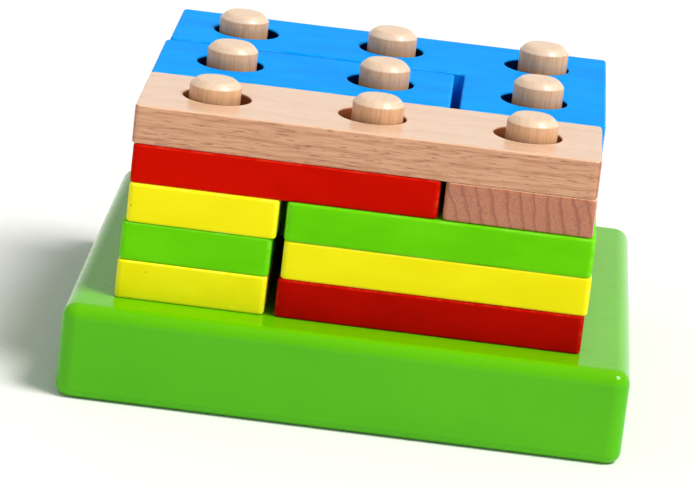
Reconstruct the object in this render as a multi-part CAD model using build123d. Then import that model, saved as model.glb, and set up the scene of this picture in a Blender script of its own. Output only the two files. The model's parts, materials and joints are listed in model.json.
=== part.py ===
from build123d import *
import os

# Nine-peg stacking puzzle.  Millimetres.
# +Z is up, +X runs to the right and +Y to the back as the board faces the user.
# The origin is the centre of the board's underside.

# Board
board_side = 130.0
board_height = 22.0
board_corner_radius = 4.0
board_top_radius = 3.5
board_bottom_radius = 2.5

# Pegs, glued into blind sockets on a square grid
peg_pitch = 36.0
peg_diameter = 12.0
peg_socket_depth = 12.0
peg_socket_slack = 0.1
peg_proud = 5.0
peg_tip_radius = 1.6
peg_foot_chamfer = 0.8

# Blocks, cut from one thickness of board and drilled to drop over the pegs
block_thickness = 9.05
block_clearance = 1.5
block_hole_diameter = 15.8
block_corner_radius = 1.3
block_edge_radius = 0.6
block_hole_edge_radius = 0.4
layer_count = 5

stack_height = layer_count * block_thickness
peg_length = peg_socket_depth + stack_height + peg_proud
column_names = ["left", "middle", "right"]
row_names = ["front", "middle", "back"]
touch = 0.001  # edges this near to a height or a radius count as lying on it

# How far each peg stands to the right of its true grid place, and how much longer it is cut
peg_quirks = {
    ("left", "front"): (-1.3, -0.5),
    ("middle", "front"): (0.35, 0.0),
    ("right", "front"): (0.0, 0.0),
    ("left", "middle"): (-0.5, 0.0),
    ("middle", "middle"): (0.0, 0.25),
    ("right", "middle"): (0.75, 0.5),
    ("left", "back"): (-0.75, -0.35),
    ("middle", "back"): (0.0, 0.0),
    ("right", "back"): (1.4, 0.75),
}

# Cells covered by each block as (column, row) counted from the front left,
# its layer counted from the board, and how far it has slid on its pegs (x, y)
blocks = {
    "yellow_long_bar": (1, [(0, 0), (0, 1), (0, 2)], (-1.1, -0.6)),
    "red_ell": (1, [(1, 0), (2, 0), (2, 1), (2, 2)], (-0.2, -0.6)),
    "natural_short_bar": (1, [(1, 1), (1, 2)], (0.1, 0.2)),
    "green_ell": (2, [(0, 0), (0, 1), (1, 1), (2, 1)], (-0.95, -0.2)),
    "yellow_short_bar": (2, [(1, 0), (2, 0)], (0.3, -0.2)),
    "blue_long_bar": (2, [(0, 2), (1, 2), (2, 2)], (0.2, 0.3)),
    "yellow_ell": (3, [(0, 0), (0, 1), (1, 1), (2, 1)], (-0.2, -0.2)),
    "green_short_bar": (3, [(1, 0), (2, 0)], (0.1, -0.2)),
    "red_long_bar": (3, [(0, 2), (1, 2), (2, 2)], (0.4, 0.1)),
    "red_short_bar": (4, [(0, 0), (1, 0)], (-0.3, 0.7)),
    "natural_ell": (4, [(2, 0), (2, 1), (1, 1), (0, 1)], (-0.7, 0.7)),
    "green_long_bar": (4, [(0, 2), (1, 2), (2, 2)], (-0.1, 0.4)),
    "natural_long_bar": (5, [(0, 0), (1, 0), (2, 0)], (-0.8, 1.0)),
    "blue_short_bar": (5, [(0, 1), (1, 1)], (-0.8, 0.0)),
    "blue_ell": (5, [(0, 2), (1, 2), (2, 2), (2, 1)], (0.0, 0.0)),
}


def cell_centre(column, row):
    return (column - 1) * peg_pitch, (row - 1) * peg_pitch


def peg_position(column, row):
    x, y = cell_centre(column, row)
    drift = peg_quirks[(column_names[column], row_names[row])][0]
    return x + drift, y


def peg_name(column, row):
    if column == 1 and row == 1:
        return "peg_centre"
    return "peg_" + row_names[row] + "_" + column_names[column]


def level_edges(solid, height):
    # the closed run of edges lying flat at one height
    return solid.edges().filter_by_position(Axis.Z, height - touch, height + touch)


def make_board():
    align_up = (Align.CENTER, Align.CENTER, Align.MIN)
    board = Box(board_side, board_side, board_height, align=align_up)
    board = fillet(board.edges().filter_by(Axis.Z), board_corner_radius)
    board = fillet(level_edges(board, board_height), board_top_radius)
    board = fillet(level_edges(board, 0.0), board_bottom_radius)
    socket_radius = (peg_diameter + peg_socket_slack) / 2
    socket_floor = board_height - peg_socket_depth
    for column in range(len(column_names)):
        for row in range(len(row_names)):
            x, y = peg_position(column, row)
            socket = Cylinder(socket_radius, board_height, align=align_up)
            board = board - Pos(x, y, socket_floor) * socket
    return board


def make_peg(column, row):
    length = peg_length + peg_quirks[(column_names[column], row_names[row])][1]
    peg = Cylinder(peg_diameter / 2, length, align=(Align.CENTER, Align.CENTER, Align.MIN))
    peg = fillet(level_edges(peg, length), peg_tip_radius)
    peg = chamfer(level_edges(peg, 0.0), peg_foot_chamfer)
    x, y = peg_position(column, row)
    return Pos(x, y, board_height - peg_socket_depth) * peg


def make_block(cells):
    # whole cells joined edge to edge, then drawn in all round by half the clearance
    outline = Sketch()
    for column, row in cells:
        x, y = cell_centre(column, row)
        outline = outline + Pos(x, y) * Rectangle(peg_pitch, peg_pitch)
    outline = offset(outline, -block_clearance / 2, kind=Kind.INTERSECTION)
    block = extrude(outline, block_thickness)
    block = fillet(block.edges().filter_by(Axis.Z), block_corner_radius)
    block = fillet(level_edges(block, block_thickness), block_edge_radius)
    block = fillet(level_edges(block, 0.0), block_edge_radius)
    for column, row in cells:
        x, y = cell_centre(column, row)
        hole = Cylinder(block_hole_diameter / 2, 3 * block_thickness)  # passes both faces
        block = block - Pos(x, y) * hole
    rims = block.edges().filter_by(is_hole_rim)
    return fillet(rims, block_hole_edge_radius)


def is_hole_rim(edge):
    return edge.geom_type == GeomType.CIRCLE and abs(edge.radius - block_hole_diameter / 2) < touch


os.makedirs("parts", exist_ok=True)

export_step(make_board(), "parts/base_board.step")

for column in range(len(column_names)):
    for row in range(len(row_names)):
        export_step(make_peg(column, row), "parts/" + peg_name(column, row) + ".step")

for name, (layer, cells, slide) in blocks.items():
    floor = board_height + (layer - 1) * block_thickness
    block = Pos(slide[0], slide[1], floor) * make_block(cells)
    export_step(block, "parts/" + name + ".step")
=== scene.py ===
import json
import math
import bmesh
import bpy
from mathutils import Matrix, Vector


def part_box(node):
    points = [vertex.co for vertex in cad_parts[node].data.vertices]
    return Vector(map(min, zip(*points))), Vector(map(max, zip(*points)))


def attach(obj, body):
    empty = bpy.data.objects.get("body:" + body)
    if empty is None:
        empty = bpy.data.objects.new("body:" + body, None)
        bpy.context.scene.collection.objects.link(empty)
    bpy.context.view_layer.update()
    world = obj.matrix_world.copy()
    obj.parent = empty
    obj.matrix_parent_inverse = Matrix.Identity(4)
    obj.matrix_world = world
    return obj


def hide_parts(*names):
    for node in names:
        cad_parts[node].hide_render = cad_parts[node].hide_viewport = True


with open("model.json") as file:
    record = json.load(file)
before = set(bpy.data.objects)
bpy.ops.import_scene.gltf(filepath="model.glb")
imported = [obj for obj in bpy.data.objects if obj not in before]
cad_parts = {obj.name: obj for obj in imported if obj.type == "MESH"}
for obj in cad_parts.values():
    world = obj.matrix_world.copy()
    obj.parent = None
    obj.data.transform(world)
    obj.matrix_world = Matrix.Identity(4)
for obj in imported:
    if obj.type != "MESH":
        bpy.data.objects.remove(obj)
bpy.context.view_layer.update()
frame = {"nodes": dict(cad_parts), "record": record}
print("frame loaded:", len(frame["nodes"]), "nodes")

mm = 0.001

cameraSet = {
    "place": (0.02472, -0.96982, 0.29563),  # metres, from the centre of the board's underside
    "turn": -1.705,  # degrees, to the right
    "down": 15.501,  # degrees below level
    "tilt": 6.630,  # degrees clockwise that the picture leans
    "lens": 216.7,  # millimetres, on a sensor of the width below
    "sensor": 36.0,
    "nearest": 50 * mm,
}

lightSet = {
    "keyHeight": 57,  # degrees above the floor
    "keyTurn": 68,  # degrees round from the front to the right
    "keySpread": 25,  # degrees across, as a large soft box gives
    "keyPower": 3.1,
    "keyColour": "FFFDF8",
    "roomPower": 1.0,
    "roomSkyline": "F8F8F6",  # the white walls, seen in low reflections
    "roomCeiling": "A4A4A4",
    "skylineAt": 0.10,  # how far up each colour lies, from 0 on a level to 1 overhead
    "ceilingAt": 0.50,
}

floorSet = {
    "size": 8.0,
    "colours": ("EDEDEC", "F1F1F0"),
    "tones": (0.3, 0.7),  # where in the noise each colour lies
    "blotch": 330 * mm,
    "detail": 2.0,
    "roughness": 0.85,
    "specular": 0.2,
}


def srgb(code):
    # sRGB hex to the linear colour that the shaders work in
    channels = [int(code[i:i + 2], 16) / 255 for i in (0, 2, 4)]
    linear = [c / 12.92 if c <= 0.04045 else ((c + 0.055) / 1.055) ** 2.4 for c in channels]
    return (*linear, 1.0)


def perMm(*sizes):
    # how long one blob of a pattern is along each axis, as the scale that gives it
    return tuple(1 / size for size in sizes)


def addNode(tree, kind, inputs=None, stops=(), **settings):
    # adds one node: its settings, its input values, the sockets that feed it, and a ramp's two colours
    node = tree.nodes.new("ShaderNode" + kind)
    for name, value in settings.items():
        setattr(node, name, value)
    for socket, value in (inputs or {}).items():
        if isinstance(value, bpy.types.NodeSocket):
            tree.links.new(value, node.inputs[socket])
        else:
            node.inputs[socket].default_value = value
    for index, (position, code) in enumerate(stops):
        node.color_ramp.elements[index].position = position
        node.color_ramp.elements[index].color = srgb(code)
    return node


def startMaterial(name):
    material = bpy.data.materials.new(name)
    material.use_nodes = True
    material.node_tree.nodes.clear()
    return material, material.node_tree


def makeCamera():
    data = bpy.data.cameras.new("studioCamera")
    data.sensor_width = cameraSet["sensor"]
    data.lens = cameraSet["lens"]
    data.clip_start = cameraSet["nearest"]
    camera = bpy.data.objects.new("studioCamera", data)
    bpy.context.scene.collection.objects.link(camera)
    heading = Matrix.Rotation(-math.radians(cameraSet["turn"]), 4, "Z")
    lean = Matrix.Rotation(math.radians(90 - cameraSet["down"]), 4, "X")
    roll = Matrix.Rotation(math.radians(cameraSet["tilt"]), 4, "Z")
    camera.matrix_world = Matrix.Translation(cameraSet["place"]) @ heading @ lean @ roll
    bpy.context.scene.camera = camera


def makeLights():
    data = bpy.data.lights.new("softKey", "SUN")
    data.angle = math.radians(lightSet["keySpread"])
    data.energy = lightSet["keyPower"]
    data.color = srgb(lightSet["keyColour"])[:3]
    lamp = bpy.data.objects.new("softKey", data)
    bpy.context.scene.collection.objects.link(lamp)
    lean = math.radians(90 - lightSet["keyHeight"])
    lamp.rotation_euler = (lean, 0, math.radians(lightSet["keyTurn"]))
    world = bpy.data.worlds.new("whiteRoom")
    world.use_nodes = True
    tree = world.node_tree
    tree.nodes.clear()
    way = addNode(tree, "TexCoord").outputs["Generated"]
    height = addNode(tree, "SeparateXYZ", {"Vector": way}).outputs["Z"]
    glow = addNode(tree, "ValToRGB", {"Fac": height}, stops=[
        (lightSet["skylineAt"], lightSet["roomSkyline"]),
        (lightSet["ceilingAt"], lightSet["roomCeiling"])])
    light = addNode(tree, "Background", {
        "Color": glow.outputs["Color"], "Strength": lightSet["roomPower"]})
    addNode(tree, "OutputWorld", {"Surface": light.outputs["Background"]})
    bpy.context.scene.world = world
    bpy.context.scene.view_settings.view_transform = "Standard"


def makeFloor():
    bpy.ops.object.select_all(action="DESELECT")
    bpy.ops.mesh.primitive_plane_add(size=floorSet["size"])
    floor = bpy.context.object
    floor.name = "studioFloor"
    material, tree = startMaterial("mattWhiteSweep")  # matt white board, with a barely uneven tone
    place = addNode(tree, "TexCoord").outputs["Object"]
    cloud = addNode(tree, "TexNoise", {
        "Vector": place, "Scale": 1 / floorSet["blotch"], "Detail": floorSet["detail"]})
    shade = addNode(tree, "ValToRGB", {"Fac": cloud.outputs["Fac"]}, stops=zip(
        floorSet["tones"], floorSet["colours"]))
    surface = addNode(tree, "BsdfPrincipled", {
        "Base Color": shade.outputs["Color"], "Roughness": floorSet["roughness"],
        "Specular IOR Level": floorSet["specular"]})
    addNode(tree, "OutputMaterial", {"Surface": surface.outputs["BSDF"]})
    floor.data.materials.append(material)


makeCamera()
makeLights()
makeFloor()
print("camera, lights and floor made")

grainTurn = {  # brings the length of the grain onto X
    "x": (0.0, 0.0, 0.0),
    "y": (0.0, 0.0, -math.pi / 2),
    "z": (0.0, math.pi / 2, 0.0),
}
inMm = (1 / mm, 1 / mm, 1 / mm)  # turns metres into the millimetres that the patterns are sized in
ringStep = math.pi / 10  # how far apart the wave texture draws its rings at scale 1

# Beech, planed and sanded, under clear satin lacquer: a warm pale wood with faint growth bands and
# short brown flecks along the grain. Its upright sides are painted browner and darker than its level
# faces as painted shade, and a dowel's end paler as painted light on its lit tip. A block's ends are
# darker and redder with the growth lines plain to see, its bore walls darker and redder, partly in
# their own drilled tone and partly as painted shade, and it keeps a low reflection of the pegs.
beechLook = {
    "block": {
        # the side colours are browner and darker than the face colours, as painted shade on the
        # upright faces
        "face": ("EDC6A7", "E1B594"), "side": ("D8A17A", "B67A55"), "end": ("BC7553", "9A5236"),
        # bore: the drilled walls darker and redder, partly their own tone and partly painted shade in
        # the holes
        "fleck": "8A5334", "faceFleck": 0.22, "sideFleck": 0.75, "bore": "8A4318",
        "ringGap": 3.0, "roughness": 0.30, "lacquer": 0.6,
    },
    "peg": {
        # the end colour is the dowel's tip, painted paler than its side as painted light on the lit
        # top
        "face": ("E6C8AA", "DDBC9B"), "side": ("DCAC82", "C69870"), "end": ("E8CBAF", "E2C2A4"),
        "fleck": "A87450", "faceFleck": 0.08, "sideFleck": 0.30, "bore": "8A4318",
        "ringGap": 2.2, "roughness": 0.42, "lacquer": 0.2,
    },
}
beechGrain = {  # sizes in millimetres, along the grain and then across it
    "swaySize": (60, 9, 9),  # the slow wander of the growth rings
    "swayReach": (0.0, 2.6, 2.6),
    "swayDetail": 3.0,
    "ringWarp": 2.6,
    "ringDetail": 3.0,
    "ringDetailScale": 0.9,
    "lateWood": (0.60, 1.0),  # the part of each year's growth that darkens
    "blotchSize": (40, 7, 7),
    "blotchDetail": 4.0,
    "fibreSize": (8, 0.42, 0.42),  # wider than the real 0.1 mm vessels, so that it shows
    "fibreDetail": 3.0,
    "fibreTones": (0.36, 0.68),
    "fibreShare": 0.55,  # of the soft tone, with the blotches as the rest
    "ringShare": 0.22,  # of the whole tone, on the faces and sides
    "endRingShare": 0.36,
    "faceTones": (0.20, 0.75),  # where in the tone the lighter and the darker colour lie
    "sideTones": (0.20, 0.70),
    "endTones": (0.22, 0.64),
    "fleckSize": (3.4, 0.34, 0.34),
    "fleckDetail": 1.5,
    "fleckTones": (0.60, 0.71),
    "boreShare": 0.8,
    "roughTones": (0.3, 0.7),
    "roughSwing": (-0.05, 0.07),  # how far the roughness strays from the one given
    "bumpStrength": 0.12,
    "bumpHeight": 0.2 * mm,
    "ior": 1.5,
    "lacquerRoughness": 0.14,
}


def lacqueredBeech(name, kind, grain, shift):
    look = beechLook[kind]
    fine = beechGrain
    material, tree = startMaterial(name)
    place = addNode(tree, "TexCoord").outputs["Object"]
    space = addNode(tree, "Mapping", {  # millimetres, with X along the grain and the pith on X
        "Vector": place, "Location": shift, "Rotation": grainTurn[grain],
        "Scale": inMm}).outputs["Vector"]

    swayRoom = addNode(tree, "VectorMath", {
        0: space, 1: perMm(*fine["swaySize"])}, operation="MULTIPLY")
    sway = addNode(tree, "TexNoise", {
        "Vector": swayRoom.outputs["Vector"], "Scale": 1.0, "Detail": fine["swayDetail"]})
    bent = addNode(tree, "VectorMath", {
        0: sway.outputs["Color"], 1: fine["swayReach"], 2: space}, operation="MULTIPLY_ADD")
    rings = addNode(tree, "TexWave", {
        "Vector": bent.outputs["Vector"], "Scale": ringStep / look["ringGap"],
        "Distortion": fine["ringWarp"], "Detail": fine["ringDetail"],
        "Detail Scale": fine["ringDetailScale"]},
        wave_type="RINGS", rings_direction="X", wave_profile="SAW")
    lateWood = addNode(tree, "MapRange", {  # the thin dark line that ends each year's growth
        "Value": rings.outputs["Fac"],
        "From Min": fine["lateWood"][0], "From Max": fine["lateWood"][1]},
        interpolation_type="SMOOTHSTEP")

    blotchRoom = addNode(tree, "VectorMath", {
        0: space, 1: perMm(*fine["blotchSize"])}, operation="MULTIPLY")
    blotch = addNode(tree, "TexNoise", {
        "Vector": blotchRoom.outputs["Vector"], "Scale": 1.0, "Detail": fine["blotchDetail"]})
    fibreRoom = addNode(tree, "VectorMath", {
        0: space, 1: perMm(*fine["fibreSize"])}, operation="MULTIPLY")
    fibre = addNode(tree, "TexNoise", {
        "Vector": fibreRoom.outputs["Vector"], "Scale": 1.0, "Detail": fine["fibreDetail"]})
    streaks = addNode(tree, "MapRange", {
        "Value": fibre.outputs["Fac"],
        "From Min": fine["fibreTones"][0], "From Max": fine["fibreTones"][1]})
    soft = addNode(tree, "Mix", {
        0: fine["fibreShare"], 2: blotch.outputs["Fac"], 3: streaks.outputs["Result"]},
        data_type="FLOAT")
    tone = addNode(tree, "Mix", {
        0: fine["ringShare"], 2: soft.outputs[0], 3: lateWood.outputs["Result"]},
        data_type="FLOAT")
    endTone = addNode(tree, "Mix", {
        0: fine["endRingShare"], 2: soft.outputs[0], 3: lateWood.outputs["Result"]},
        data_type="FLOAT")

    face = addNode(tree, "ValToRGB", {"Fac": tone.outputs[0]}, stops=zip(
        fine["faceTones"], look["face"]))
    side = addNode(tree, "ValToRGB", {"Fac": tone.outputs[0]}, stops=zip(
        fine["sideTones"], look["side"]))
    end = addNode(tree, "ValToRGB", {"Fac": endTone.outputs[0]}, stops=zip(
        fine["endTones"], look["end"]))
    onSide = addNode(tree, "Attribute", attribute_name="side").outputs["Fac"]
    onEnd = addNode(tree, "Attribute", attribute_name="end").outputs["Fac"]
    inBore = addNode(tree, "Attribute", attribute_name="bore").outputs["Fac"]
    # painted shade and light: upright faces take the darker side colours, level faces the paler face
    # colours
    wood = addNode(tree, "Mix", {
        0: onSide, 6: face.outputs["Color"], 7: side.outputs["Color"]}, data_type="RGBA")
    wood = addNode(tree, "Mix", {
        0: onEnd, 6: wood.outputs[2], 7: end.outputs["Color"]}, data_type="RGBA")

    fleckRoom = addNode(tree, "VectorMath", {
        0: space, 1: perMm(*fine["fleckSize"])}, operation="MULTIPLY")
    fleck = addNode(tree, "TexNoise", {
        "Vector": fleckRoom.outputs["Vector"], "Scale": 1.0, "Detail": fine["fleckDetail"]})
    fleckMask = addNode(tree, "MapRange", {
        "Value": fleck.outputs["Fac"],
        "From Min": fine["fleckTones"][0], "From Max": fine["fleckTones"][1]},
        interpolation_type="SMOOTHSTEP")
    fleckShare = addNode(tree, "MapRange", {
        "Value": onSide, "To Min": look["faceFleck"], "To Max": look["sideFleck"]})
    fleckAmount = addNode(tree, "Math", {
        0: fleckMask.outputs["Result"], 1: fleckShare.outputs["Result"]}, operation="MULTIPLY")
    wood = addNode(tree, "Mix", {
        0: fleckAmount.outputs["Value"], 6: wood.outputs[2], 7: srgb(look["fleck"])},
        data_type="RGBA")
    # the bore walls are mixed toward the darker, redder bore colour: partly the drilled wood's tone,
    # partly painted shade
    boreAmount = addNode(tree, "Math", {0: inBore, 1: fine["boreShare"]}, operation="MULTIPLY")
    wood = addNode(tree, "Mix", {
        0: boreAmount.outputs["Value"], 6: wood.outputs[2], 7: srgb(look["bore"])},
        data_type="RGBA")

    rough = addNode(tree, "MapRange", {
        "Value": fibre.outputs["Fac"],
        "From Min": fine["roughTones"][0], "From Max": fine["roughTones"][1],
        "To Min": look["roughness"] + fine["roughSwing"][0],
        "To Max": look["roughness"] + fine["roughSwing"][1]})
    bump = addNode(tree, "Bump", {
        "Height": fibre.outputs["Fac"], "Strength": fine["bumpStrength"],
        "Distance": fine["bumpHeight"]})
    surface = addNode(tree, "BsdfPrincipled", {
        "Base Color": wood.outputs[2], "Roughness": rough.outputs["Result"], "IOR": fine["ior"],
        "Coat Weight": look["lacquer"], "Coat Roughness": fine["lacquerRoughness"],
        "Normal": bump.outputs["Normal"]})
    addNode(tree, "OutputMaterial", {"Surface": surface.outputs["BSDF"]})
    return material


# Sprayed satin paint on beech: an even strong colour whose film rounds the edges, with the grain just
# telegraphing through, a painted highlight of lighter colour along the rounded edges, painted shade in
# the holes, and a few specks of dust in it.
# each edge colour is a lighter copy of the body colour, a painted highlight on the rounded edges
paintLook = {
    # each bore colour is a much darker copy of the paint, painted shade inside the holes
    "red": {"body": "CA0E00", "deep": "C00B00", "edge": "DE4A2E", "bore": "3A0600"},
    "deepRed": {"body": "B80A00", "deep": "AE0900", "edge": "CC3820", "bore": "340500"},
    "yellow": {"body": "F8EC18", "deep": "F3E612", "edge": "FCF36A", "bore": "6A6004"},
    "green": {"body": "6AD40E", "deep": "62CC09", "edge": "96E050", "bore": "1E4402"},
    "blue": {"body": "009AF6", "deep": "0091EE", "edge": "52BCFC", "bore": "001A4E"},
}
paintFinish = {  # sizes in millimetres, along the grain and then across it
    "cloudSize": (22, 9, 9),  # where the paint went on a little thicker
    "cloudDetail": 3.0,
    "cloudTones": (0.35, 0.62),
    # the noise that breaks up the painted highlight on the edges, and the highlight's strongest share
    "highlightNoiseSize": (5, 1.5, 1.5),
    "highlightNoiseDetail": 2.0,
    "highlightNoiseTones": (0.38, 0.66),
    "edgeHighlight": 0.55,
    "speckScale": 0.11,  # one in about 9 mm
    "speckReach": (0.030, 0.018),
    "speckShare": 0.45,
    "speck": "3A3A2A",
    "fibreSize": (9, 0.7, 0.7),
    "fibreDetail": 2.0,
    "grainStrength": 0.10,
    "grainHeight": 0.2 * mm,
    "filmSize": 1.8,
    "filmDetail": 1.0,
    "filmStrength": 0.10,
    "filmHeight": 0.3 * mm,
    "roughness": 0.45,
    "roughTones": (0.3, 0.7),
    "roughSwing": (-0.05, 0.07),
    "ior": 1.48,
    "specular": 0.015,
}


def satinPaint(name, colour, grain, shift):
    look = paintLook[colour]
    fine = paintFinish
    material, tree = startMaterial(name)
    place = addNode(tree, "TexCoord").outputs["Object"]
    space = addNode(tree, "Mapping", {
        "Vector": place, "Location": shift, "Rotation": grainTurn[grain],
        "Scale": inMm}).outputs["Vector"]
    cloudRoom = addNode(tree, "VectorMath", {
        0: space, 1: perMm(*fine["cloudSize"])}, operation="MULTIPLY")
    cloud = addNode(tree, "TexNoise", {
        "Vector": cloudRoom.outputs["Vector"], "Scale": 1.0, "Detail": fine["cloudDetail"]})
    coat = addNode(tree, "ValToRGB", {"Fac": cloud.outputs["Fac"]}, stops=zip(
        fine["cloudTones"], (look["deep"], look["body"])))

    onLitEdge = addNode(tree, "Attribute", attribute_name="edge").outputs["Fac"]
    inBore = addNode(tree, "Attribute", attribute_name="bore").outputs["Fac"]
    highlightNoiseRoom = addNode(tree, "VectorMath", {
        0: space, 1: perMm(*fine["highlightNoiseSize"])}, operation="MULTIPLY")
    highlightNoise = addNode(tree, "TexNoise", {
        "Vector": highlightNoiseRoom.outputs["Vector"], "Scale": 1.0, "Detail": fine["highlightNoiseDetail"]})
    highlightPatch = addNode(tree, "MapRange", {
        "Value": highlightNoise.outputs["Fac"],
        "From Min": fine["highlightNoiseTones"][0], "From Max": fine["highlightNoiseTones"][1],
        "To Max": fine["edgeHighlight"]}, interpolation_type="SMOOTHSTEP")
    # painted highlight: the rounded edges are mixed toward the lighter edge colour where the noise
    # lets it
    edgeHighlightAmount = addNode(tree, "Math", {0: highlightPatch.outputs["Result"], 1: onLitEdge}, operation="MULTIPLY")
    coat = addNode(tree, "Mix", {
        0: edgeHighlightAmount.outputs["Value"], 6: coat.outputs["Color"], 7: srgb(look["edge"])},
        data_type="RGBA")
    # painted shade: the hole walls take the much darker bore colour
    coat = addNode(tree, "Mix", {
        0: inBore, 6: coat.outputs[2], 7: srgb(look["bore"])}, data_type="RGBA")
    speck = addNode(tree, "TexVoronoi", {"Vector": space, "Scale": fine["speckScale"]})
    speckMask = addNode(tree, "MapRange", {
        "Value": speck.outputs["Distance"],
        "From Min": fine["speckReach"][0], "From Max": fine["speckReach"][1],
        "To Max": fine["speckShare"]}, interpolation_type="SMOOTHSTEP")
    coat = addNode(tree, "Mix", {
        0: speckMask.outputs["Result"], 6: coat.outputs[2], 7: srgb(fine["speck"])},
        data_type="RGBA", blend_type="MULTIPLY")

    fibreRoom = addNode(tree, "VectorMath", {
        0: space, 1: perMm(*fine["fibreSize"])}, operation="MULTIPLY")
    fibre = addNode(tree, "TexNoise", {
        "Vector": fibreRoom.outputs["Vector"], "Scale": 1.0, "Detail": fine["fibreDetail"]})
    grainBump = addNode(tree, "Bump", {
        "Height": fibre.outputs["Fac"], "Strength": fine["grainStrength"],
        "Distance": fine["grainHeight"]})
    film = addNode(tree, "TexNoise", {
        "Vector": space, "Scale": 1 / fine["filmSize"], "Detail": fine["filmDetail"]})
    filmBump = addNode(tree, "Bump", {
        "Height": film.outputs["Fac"], "Strength": fine["filmStrength"],
        "Distance": fine["filmHeight"], "Normal": grainBump.outputs["Normal"]})
    rough = addNode(tree, "MapRange", {
        "Value": fibre.outputs["Fac"],
        "From Min": fine["roughTones"][0], "From Max": fine["roughTones"][1],
        "To Min": fine["roughness"] + fine["roughSwing"][0],
        "To Max": fine["roughness"] + fine["roughSwing"][1]})
    surface = addNode(tree, "BsdfPrincipled", {
        "Base Color": coat.outputs[2], "Roughness": rough.outputs["Result"], "IOR": fine["ior"],
        "Specular IOR Level": fine["specular"], "Normal": filmBump.outputs["Normal"]})
    addNode(tree, "OutputMaterial", {"Surface": surface.outputs["BSDF"]})
    return material


# Thick glossy lacquer, dipped and sanded between coats: a bright apple green with a wet shine, a faint
# orange-peel ripple in its reflections, a few pin-size dust nibs, and painted light that makes its top
# a lighter, yellower green.
boardLook = {  # sizes in millimetres
    "body": "54B802",
    "deep": "4DB001",
    # top: a lighter, yellower green, painted light on the upward faces
    "top": "68BC02",
    "litTopShare": 0.8,
    "cloudSize": (55, 24, 24),
    "cloudDetail": 3.0,
    "cloudTones": (0.35, 0.65),
    "nib": "3C5A20",
    "nibScale": 0.07,  # one in about 14 mm
    "nibReach": (0.022, 0.012),
    "nibShare": 0.5,
    "nibStrength": 0.3,
    "nibHeight": 0.3 * mm,
    "peelSize": 3.2,
    "peelDetail": 1.5,
    "peelStrength": 0.14,
    "peelHeight": 0.4 * mm,
    "roughness": 0.11,
    "roughTones": (0.3, 0.7),
    "roughSwing": (-0.04, 0.06),
    "ior": 1.5,
    "specular": 0.22,
}


def glossLacquer(name):
    look = boardLook
    material, tree = startMaterial(name)
    place = addNode(tree, "TexCoord").outputs["Object"]
    space = addNode(tree, "Mapping", {"Vector": place, "Scale": inMm}).outputs["Vector"]
    cloudRoom = addNode(tree, "VectorMath", {
        0: space, 1: perMm(*look["cloudSize"])}, operation="MULTIPLY")
    cloud = addNode(tree, "TexNoise", {
        "Vector": cloudRoom.outputs["Vector"], "Scale": 1.0, "Detail": look["cloudDetail"]})
    coat = addNode(tree, "ValToRGB", {"Fac": cloud.outputs["Fac"]}, stops=zip(
        look["cloudTones"], (look["deep"], look["body"])))
    onLitTop = addNode(tree, "Attribute", attribute_name="top").outputs["Fac"]
    litTopAmount = addNode(tree, "Math", {0: onLitTop, 1: look["litTopShare"]}, operation="MULTIPLY")
    coat = addNode(tree, "Mix", {  # painted light: the top is painted a lighter and yellower green than the sides, as the light falls on it
        0: litTopAmount.outputs["Value"], 6: coat.outputs["Color"], 7: srgb(look["top"])},
        data_type="RGBA")
    nib = addNode(tree, "TexVoronoi", {"Vector": space, "Scale": look["nibScale"]})
    nibMask = addNode(tree, "MapRange", {
        "Value": nib.outputs["Distance"],
        "From Min": look["nibReach"][0], "From Max": look["nibReach"][1]},
        interpolation_type="SMOOTHSTEP")
    nibAmount = addNode(tree, "Math", {
        0: nibMask.outputs["Result"], 1: look["nibShare"]}, operation="MULTIPLY")
    coat = addNode(tree, "Mix", {
        0: nibAmount.outputs["Value"], 6: coat.outputs[2], 7: srgb(look["nib"])},
        data_type="RGBA", blend_type="MULTIPLY")
    peel = addNode(tree, "TexNoise", {
        "Vector": space, "Scale": 1 / look["peelSize"], "Detail": look["peelDetail"]})
    peelBump = addNode(tree, "Bump", {
        "Height": peel.outputs["Fac"], "Strength": look["peelStrength"],
        "Distance": look["peelHeight"]})
    nibBump = addNode(tree, "Bump", {
        "Height": nibMask.outputs["Result"], "Strength": look["nibStrength"],
        "Distance": look["nibHeight"], "Normal": peelBump.outputs["Normal"]})
    rough = addNode(tree, "MapRange", {
        "Value": peel.outputs["Fac"],
        "From Min": look["roughTones"][0], "From Max": look["roughTones"][1],
        "To Min": look["roughness"] + look["roughSwing"][0],
        "To Max": look["roughness"] + look["roughSwing"][1]})
    surface = addNode(tree, "BsdfPrincipled", {
        "Base Color": coat.outputs[2], "Roughness": rough.outputs["Result"], "IOR": look["ior"],
        "Specular IOR Level": look["specular"], "Normal": nibBump.outputs["Normal"]})
    addNode(tree, "OutputMaterial", {"Surface": surface.outputs["BSDF"]})
    return material


shaping = {
    "sharpAngle": 35,  # degrees between two faces, past which their edge gets rounded
    "upShare": 0.5,  # an edge that rises by more than this share of its length runs up
    "facing": 0.5,  # a normal with more than this along an axis faces that way
    "wallMargin": 1.02,  # times a hole's radius, within which a point is on its wall
    "rimMargin": 1.06,  # times that again, within which it is on the rounded rim
    "roundFrom": 0.3,  # the lean of a normal where a rounded edge starts to count
    "roundSpan": 0.35,  # and how much more lean brings it to its full
    "mergeGap": 0.01 * mm,
    "flatWeight": 90,  # how far the wide faces rule the shading, from 1 to 100
}


def pick(kind, test):
    # in edit mode, selects only the vertices, edges or faces that pass the test
    modes = {"verts": "VERT", "edges": "EDGE", "faces": "FACE"}
    bpy.ops.mesh.select_all(action="DESELECT")
    bpy.ops.mesh.select_mode(type=modes[kind])
    mesh = bmesh.from_edit_mesh(bpy.context.object.data)
    for item in getattr(mesh, kind):
        item.select_set(test(item))
    mesh.select_flush_mode()
    bmesh.update_edit_mesh(bpy.context.object.data)


def isSharp(edge):
    return len(edge.link_faces) == 2 and edge.calc_face_angle() > math.radians(shaping["sharpAngle"])


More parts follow.
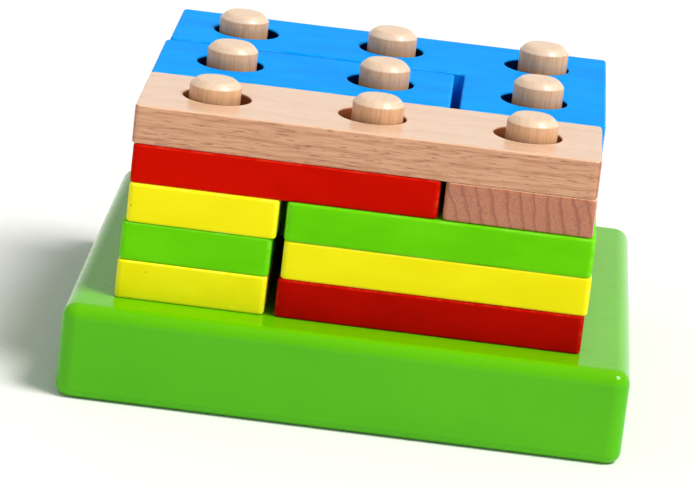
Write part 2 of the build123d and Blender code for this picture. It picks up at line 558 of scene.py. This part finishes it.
def runsUp(edge):
    a, b = (vert.co for vert in edge.verts)
    return abs(a.z - b.z) > shaping["upShare"] * (a - b).length


def nearHole(point, centres, radius):
    # touches a hole's wall, with a little to spare
    reach = radius * shaping["wallMargin"]
    return any((Vector(point[:2]) - Vector(centre)).length < reach for centre in centres)


def roundness(vert):
    # 0 on a flat face and 1 in the middle of a rounded edge, where the normal is half way over
    lean = sorted(abs(value) for value in vert.normal)
    return min(1.0, max(0.0, (lean[1] - shaping["roundFrom"]) / shaping["roundSpan"]))


def isUpright(vert):
    return abs(vert.normal.z) < shaping["facing"]


def addDrilledPlate(cells, holes, look):
    # a flat sheet of rectangles, each with a round hole, all quads from hole to rim
    sides = look["holeSides"]
    for (lowX, lowY, highX, highY), (x, y) in zip(cells, holes):
        middle = ((lowX + highX) / 2, (lowY + highY) / 2, 0)
        bpy.ops.mesh.primitive_circle_add(  # four corners make it a square with sides of 1
            vertices=4, radius=math.sqrt(0.5), location=middle, rotation=(0, 0, math.pi / 4))
        bpy.ops.transform.resize(value=(highX - lowX, highY - lowY, 1), center_override=middle)
        bpy.ops.mesh.subdivide(number_cuts=sides // 4 - 1)
        bpy.ops.mesh.primitive_circle_add(
            vertices=sides, radius=look["holeRadius"], location=(x, y, 0))
        pick("edges", lambda edge: edge.is_wire)
        bpy.ops.mesh.bridge_edge_loops(number_cuts=look["plateCuts"], interpolation="LINEAR")
    bpy.ops.mesh.select_all(action="SELECT")
    bpy.ops.mesh.remove_doubles(threshold=shaping["mergeGap"])


def startPiece(name):
    # an empty mesh open in edit mode
    mesh = bpy.data.meshes.new(name)
    piece = bpy.data.objects.new(name, mesh)
    bpy.context.scene.collection.objects.link(piece)
    makeActive(piece)
    bpy.ops.object.mode_set(mode="EDIT")
    return piece


def makeActive(piece):
    bpy.ops.object.select_all(action="DESELECT")
    bpy.context.view_layer.objects.active = piece
    piece.select_set(True)


def copyPiece(piece, name):
    copy = piece.copy()
    copy.data = piece.data.copy()
    copy.name = name
    copy.data.name = name
    bpy.context.scene.collection.objects.link(copy)
    makeActive(copy)
    return copy


def moveInto(piece, node, turn=0.0, over=False):
    # turns a finished shape and sets its middle where the node's is, then settles it in its mesh
    piece.rotation_euler = (math.pi if over else 0.0, 0.0, turn)
    makeActive(piece)
    bpy.ops.object.transform_apply(location=True, rotation=True, scale=True)
    low, high = (Vector(corner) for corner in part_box(node))
    places = [vert.co for vert in piece.data.vertices]
    pieceLow = Vector([min(place[i] for place in places) for i in range(3)])
    pieceHigh = Vector([max(place[i] for place in places) for i in range(3)])
    piece.location = (low + high) / 2 - (pieceLow + pieceHigh) / 2
    bpy.ops.object.transform_apply(location=True, rotation=True, scale=True)


def writeMask(piece, name, test):
    # a value at every vertex, 0 to 1, that the material reads
    layer = piece.data.attributes.new(name, "FLOAT", "POINT")
    for vert in piece.data.vertices:
        layer.data[vert.index].value = float(test(vert))


def unevenSurface(piece, name, size, depth):
    # the small hollows and swells that hand sanding leaves
    cloud = bpy.data.textures.new(name, "CLOUDS")
    cloud.noise_scale = size
    cloud.noise_depth = 1
    displace = piece.modifiers.new(name, "DISPLACE")
    displace.texture = cloud
    displace.texture_coords = "LOCAL"
    displace.strength = depth
    bpy.ops.object.modifier_apply(modifier=displace.name)


def flattenNormals(piece):
    # keeps wide faces flat to the eye beside their small rounded edges
    bpy.ops.object.shade_smooth()
    weighted = piece.modifiers.new("flatFaces", "WEIGHTED_NORMAL")
    weighted.keep_sharp = True
    weighted.weight = shaping["flatWeight"]
    bpy.ops.object.modifier_apply(modifier=weighted.name)


def bodyOf(node):
    for body, nodes in frame["record"]["behaviour"]["bodies"].items():
        if node in nodes:
            return body


def handOver(piece, node, material):
    piece.data.materials.append(material)
    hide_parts(node)
    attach(piece, bodyOf(node))


blockShape = {
    "pitch": 36 * mm,
    "clearance": 1.5 * mm,
    "thickness": 9.05 * mm,
    "holeRadius": 7.9 * mm,
    "cornerRadius": 1.3 * mm,
    "edgeRadius": 0.6 * mm,
    "rimRadius": 0.4 * mm,
    "holeSides": 48,
    "plateCuts": 4,  # rings of faces between a hole and the outline
    "levels": 3,  # rows of faces up a side
    "cornerSteps": 4,
    "edgeSteps": 4,
    "rimSteps": 3,
    "unevenSize": 16 * mm,
    "unevenDepth": 0.10 * mm,
}

blockCells = {  # (column, row) of each hole
    "shortBar": [(0, 0), (0, 1)],
    "longBar": [(0, 0), (1, 0), (2, 0)],
    "ell": [(0, 0), (1, 0), (2, 0), (2, 1)],
}

blockList = {
    # node: shape, quarter turns, turned over, finish, grain, where its board was cut (mm)
    "yellow_long_bar": ("longBar", 1, False, "yellow", "y", (12, 70, 40)),
    "red_ell": ("ell", 3, True, "deepRed", "y", (140, 66, 52)),
    "natural_short_bar": ("shortBar", 0, False, "natural", "y", (260, 58, 31)),
    "green_ell": ("ell", 2, False, "green", "x", (390, 81, 37)),
    "yellow_short_bar": ("shortBar", 1, False, "yellow", "x", (505, 64, 58)),
    "blue_long_bar": ("longBar", 0, False, "blue", "x", (640, 73, 44)),
    "yellow_ell": ("ell", 2, False, "yellow", "x", (770, 59, 49)),
    "green_short_bar": ("shortBar", 1, False, "green", "x", (900, 86, 33)),
    "red_long_bar": ("longBar", 0, False, "red", "x", (1030, 62, 55)),
    "red_short_bar": ("shortBar", 1, False, "red", "x", (1160, 78, 41)),
    "natural_ell": ("ell", 0, True, "natural", "y", (1290, -35, -38)),
    "green_long_bar": ("longBar", 0, False, "green", "x", (1420, 69, 47)),
    "natural_long_bar": ("longBar", 0, False, "natural", "x", (1550, 80, 95)),
    "blue_short_bar": ("shortBar", 1, False, "blue", "x", (1680, 61, 53)),
    "blue_ell": ("ell", 0, True, "blue", "x", (1810, 75, 36)),
}


def modelBlock(name):
    look = blockShape
    pitch, thickness = look["pitch"], look["thickness"]
    half = (pitch - look["clearance"]) / 2
    columnEdges = [-half, half, 2 * pitch - half, 2 * pitch + half]
    rowEdges = [-half, half, pitch + half]
    holes = [(column * pitch, row * pitch) for column, row in blockCells[name]]
    cells = [(columnEdges[column], rowEdges[row], columnEdges[column + 1], rowEdges[row + 1])
             for column, row in blockCells[name]]
    piece = startPiece(name)
    addDrilledPlate(cells, holes, look)
    for level in range(look["levels"]):
        bpy.ops.mesh.extrude_region_move(
            TRANSFORM_OT_translate={"value": (0, 0, thickness / look["levels"])})
    bpy.ops.mesh.select_all(action="SELECT")
    bpy.ops.mesh.remove_doubles(threshold=shaping["mergeGap"])
    bpy.ops.mesh.normals_make_consistent(inside=False)
    pick("edges", lambda edge: isSharp(edge) and runsUp(edge))
    bpy.ops.mesh.bevel(offset=look["cornerRadius"], segments=look["cornerSteps"], affect="EDGES")

    def onRim(edge):
        return isSharp(edge) and nearHole(edge.verts[0].co, holes, look["holeRadius"])

    pick("edges", lambda edge: isSharp(edge) and not runsUp(edge) and not onRim(edge))
    bpy.ops.mesh.bevel(offset=look["edgeRadius"], segments=look["edgeSteps"], affect="EDGES")
    pick("edges", onRim)
    bpy.ops.mesh.bevel(offset=look["rimRadius"], segments=look["rimSteps"], affect="EDGES")
    bpy.ops.object.mode_set(mode="OBJECT")

    # the hole walls, where the painted shade goes
    def isBore(vert):
        return nearHole(vert.co, holes, look["holeRadius"]) and isUpright(vert)

    # where the painted highlight goes: the rounded edges, but not the hole rims
    def edgeHighlight(vert):
        rim = look["holeRadius"] * shaping["rimMargin"]
        return 0.0 if nearHole(vert.co, holes, rim) else roundness(vert)

    writeMask(piece, "bore", isBore)
    writeMask(piece, "side", isUpright)
    writeMask(piece, "edge", edgeHighlight)
    return piece


def makeBlocks():
    shapes = {name: modelBlock(name) for name in blockCells}
    for node, (shape, quarters, over, finish, grain, shift) in blockList.items():
        piece = copyPiece(shapes[shape], node + "_block")
        moveInto(piece, node, quarters * math.pi / 2, over)
        bore = [item.value for item in piece.data.attributes["bore"].data]
        along = "xyz".index(grain)
        writeMask(piece, "end", lambda vert: abs(vert.normal[along]) > shaping["facing"]
                  and not bore[vert.index])
        unevenSurface(piece, "sandedHollows", blockShape["unevenSize"], blockShape["unevenDepth"])
        flattenNormals(piece)
        place = tuple(float(value) for value in shift)
        if finish == "natural":
            material = lacqueredBeech("lacqueredBeech_" + node, "block", grain, place)
        else:
            material = satinPaint("satinPaint_" + node, finish, grain, place)
        handOver(piece, node, material)
    for shape in shapes.values():
        bpy.data.objects.remove(shape)


makeBlocks()
print("blocks made:", len(blockList))

pegShape = {
    "radius": 6 * mm,
    "length": 62.25 * mm,
    "tipRound": 1.6 * mm,
    "tipBulge": 0.30,  # 0.25 is a straight chamfer and 0.5 a full round
    "tipSteps": 7,
    "tipCrown": 0.06 * mm,
    "crownRings": 3,
    "footChamfer": 0.8 * mm,
    "sides": 64,
    "rings": 24,
    "unevenSize": 9 * mm,
    "unevenDepth": 0.08 * mm,
    "smoothAngle": 40,  # degrees
    "cutFrom": (0.0, 31.0, -45.0),  # where its wood lies beside the pith, in millimetres
}

pegNodes = [node for node in frame["nodes"] if node.startswith("peg_")]


def modelPeg():
    look = pegShape
    top = look["length"] - look["tipCrown"]
    piece = startPiece("dowel")
    bpy.ops.mesh.primitive_cylinder_add(
        vertices=look["sides"], radius=look["radius"], depth=top, location=(0, 0, top / 2))
    pick("edges", lambda edge: isSharp(edge) and edge.verts[0].co.z < top / 2)
    bpy.ops.mesh.bevel(offset=look["footChamfer"], segments=1, affect="EDGES")
    pick("edges", lambda edge: isSharp(edge) and edge.verts[0].co.z > top / 2)
    bpy.ops.mesh.bevel(
        offset=look["tipRound"], segments=look["tipSteps"], profile=look["tipBulge"], affect="EDGES")
    pick("edges", lambda edge: runsUp(edge) and edge.calc_length() > top / 2)
    bpy.ops.mesh.subdivide(number_cuts=look["rings"])
    for ring in range(look["crownRings"]):
        pick("faces", lambda face: len(face.verts) == look["sides"] and face.normal.z > 0)
        bpy.ops.mesh.inset(thickness=look["radius"] / (2 * look["crownRings"]))
        bpy.ops.transform.translate(value=(0, 0, look["tipCrown"] / look["crownRings"]))
    bpy.ops.object.mode_set(mode="OBJECT")
    writeMask(piece, "bore", lambda vert: 0.0)
    writeMask(piece, "side", isUpright)
    writeMask(piece, "end", lambda vert: vert.normal.z > shaping["facing"])
    return piece


def makePegs():
    dowel = modelPeg()
    material = lacqueredBeech("lacqueredBeech_dowel", "peg", "z", pegShape["cutFrom"])
    for node in pegNodes:
        low, high = (Vector(corner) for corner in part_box(node))
        extra = high.z - low.z - pegShape["length"]  # each peg is cut a little long or short
        piece = copyPiece(dowel, node + "_dowel")
        bpy.ops.object.mode_set(mode="EDIT")
        pick("verts", lambda vert: vert.co.z > pegShape["length"] - 2 * pegShape["tipRound"])
        bpy.ops.transform.translate(value=(0, 0, extra))
        bpy.ops.object.mode_set(mode="OBJECT")
        moveInto(piece, node)
        unevenSurface(piece, "turnedSurface", pegShape["unevenSize"], pegShape["unevenDepth"])
        bpy.ops.object.shade_smooth_by_angle(angle=math.radians(pegShape["smoothAngle"]))
        handOver(piece, node, material)
    bpy.data.objects.remove(dowel)


makePegs()
print("pegs made:", len(pegNodes))

boardShape = {
    "cornerRadius": 4 * mm,
    "topRadius": 3.5 * mm,
    "bottomRadius": 2.5 * mm,
    "socketRadius": 6.05 * mm,
    "socketDepth": 12 * mm,
    "socketRim": 0.4 * mm,
    "socketSides": 48,
    "cornerSteps": 10,
    "topSteps": 9,
    "bottomSteps": 6,
    "rimSteps": 2,
    "rimBand": 0.1 * mm,  # edges this near to the top or the underside belong to it
}


def cutHoles(piece, places, radius, depth, sides):
    # joins one cylinder per hole into a single cutter, and takes it away from the piece
    cutter = startPiece("drill")
    for place in places:
        bpy.ops.mesh.primitive_cylinder_add(  # half of it stands above the face it goes into
            vertices=sides, radius=radius, depth=2 * depth, location=place)
    bpy.ops.object.mode_set(mode="OBJECT")
    makeActive(piece)
    drill = piece.modifiers.new("drill", "BOOLEAN")
    drill.operation = "DIFFERENCE"
    drill.solver = "EXACT"
    drill.object = cutter
    bpy.ops.object.modifier_apply(modifier=drill.name)
    bpy.data.objects.remove(cutter)


def makeBoard():
    look = boardShape
    low, high = (Vector(corner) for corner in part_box("base_board"))
    top = high.z
    middle = (low + high) / 2

    def atTop(edge):
        return isSharp(edge) and all(vert.co.z > top - look["rimBand"] for vert in edge.verts)

    def atFoot(edge):
        return isSharp(edge) and all(vert.co.z < look["rimBand"] for vert in edge.verts)

    pegBoxes = [[Vector(corner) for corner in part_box(node)] for node in pegNodes]
    sockets = [((a.x + b.x) / 2, (a.y + b.y) / 2, top) for a, b in pegBoxes]
    piece = startPiece("lacquered_board")
    bpy.ops.mesh.primitive_cube_add(size=1, location=middle)
    bpy.ops.transform.resize(value=high - low, center_override=middle)
    pick("edges", runsUp)
    bpy.ops.mesh.bevel(offset=look["cornerRadius"], segments=look["cornerSteps"], affect="EDGES")
    pick("edges", atTop)
    bpy.ops.mesh.bevel(offset=look["topRadius"], segments=look["topSteps"], affect="EDGES")
    pick("edges", atFoot)
    bpy.ops.mesh.bevel(offset=look["bottomRadius"], segments=look["bottomSteps"], affect="EDGES")
    bpy.ops.object.mode_set(mode="OBJECT")
    cutHoles(piece, sockets, look["socketRadius"], look["socketDepth"], look["socketSides"])
    bpy.ops.object.mode_set(mode="EDIT")
    pick("edges", atTop)
    bpy.ops.mesh.bevel(offset=look["socketRim"], segments=look["rimSteps"], affect="EDGES")
    bpy.ops.object.mode_set(mode="OBJECT")
    # marks the upward faces for the painted light on the top
    writeMask(piece, "top", lambda vert: min(1.0, max(0.0, vert.normal.z)))
    flattenNormals(piece)
    handOver(piece, "base_board", glossLacquer("glossLacquer_board"))


makeBoard()
print("board made")
